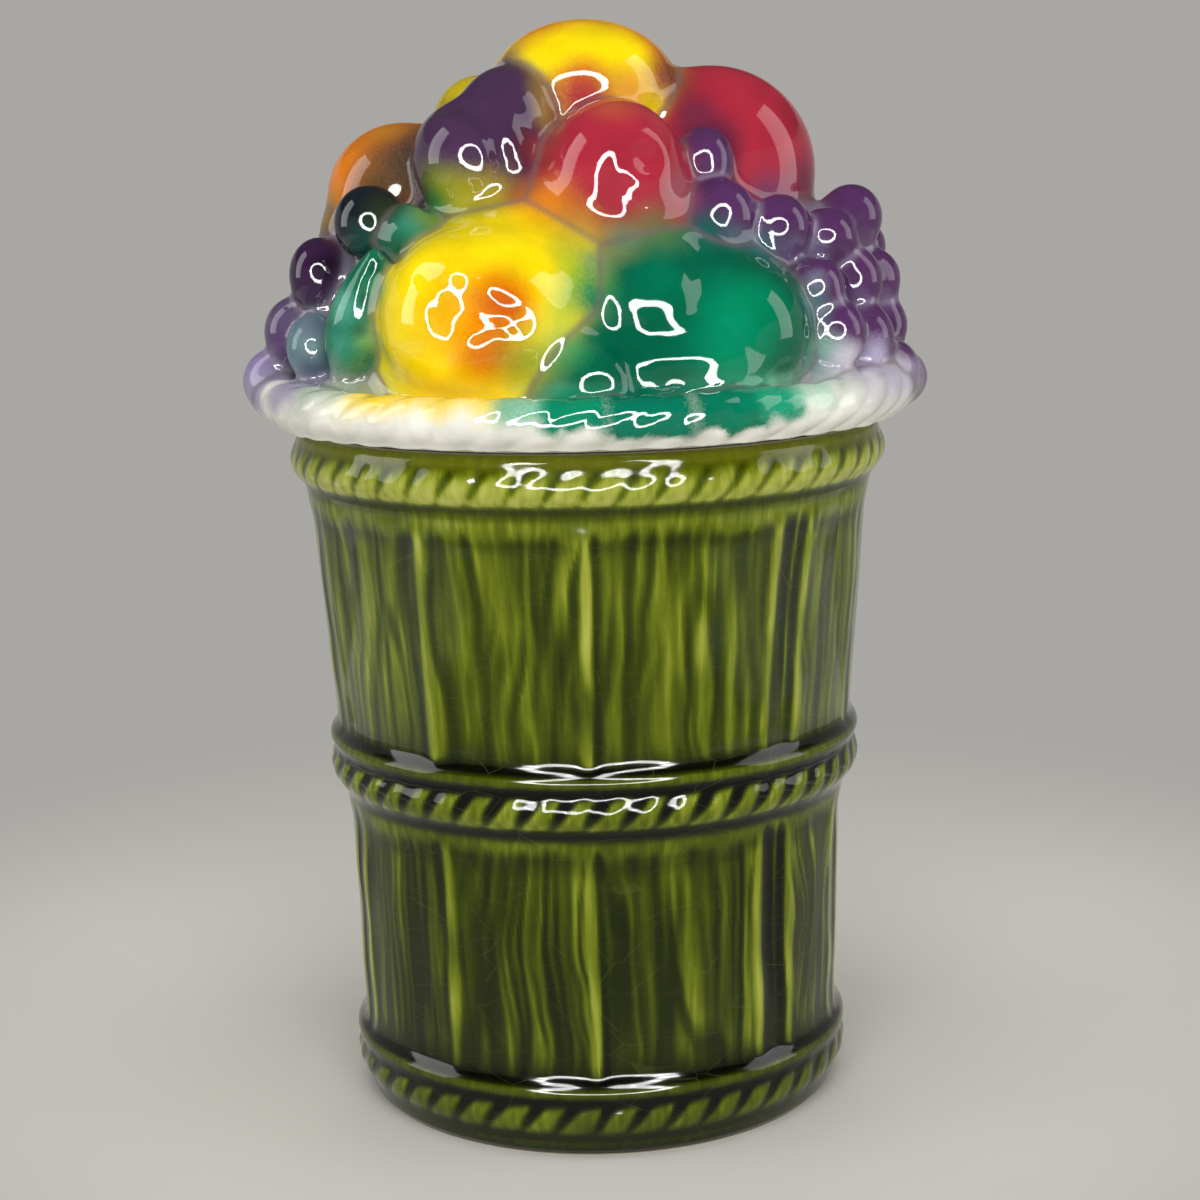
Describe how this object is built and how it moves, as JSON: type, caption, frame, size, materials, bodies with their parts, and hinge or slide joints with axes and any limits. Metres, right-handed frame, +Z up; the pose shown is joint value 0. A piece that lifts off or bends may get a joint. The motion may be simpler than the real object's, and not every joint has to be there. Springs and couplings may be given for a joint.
{
  "type": "cookie jar",
  "caption": "Glazed earthenware cookie jar: a round crock moulded as a barrel of wood staves with rope bands, and a hollow lift-off lid heaped with moulded fruit.",
  "frame": {"origin": "middle of the foot, on the table", "axes": "+Z up along the jar's turned axis, -Y towards the front of the fruit, +X to the right as seen from the front"},
  "size_m": [0.1907, 0.185, 0.3053],
  "materials": {
    "green_glaze": "transparent olive-green gloss glaze over moulded earthenware, darker where it pools",
    "fruit_glaze": "clear gloss glaze over sprayed yellow, orange, red, violet and green on cream earthenware"
  },
  "bodies": {
    "jar": {"jar": "green_glaze"},
    "lid": {"lid": "fruit_glaze"}
  },
  "joints": [
    {"name": "lid_lift", "type": "slide", "parent": "jar", "child": "lid", "axis": [0, 0, 1], "range_m": [0, 0.2]}
  ]
}
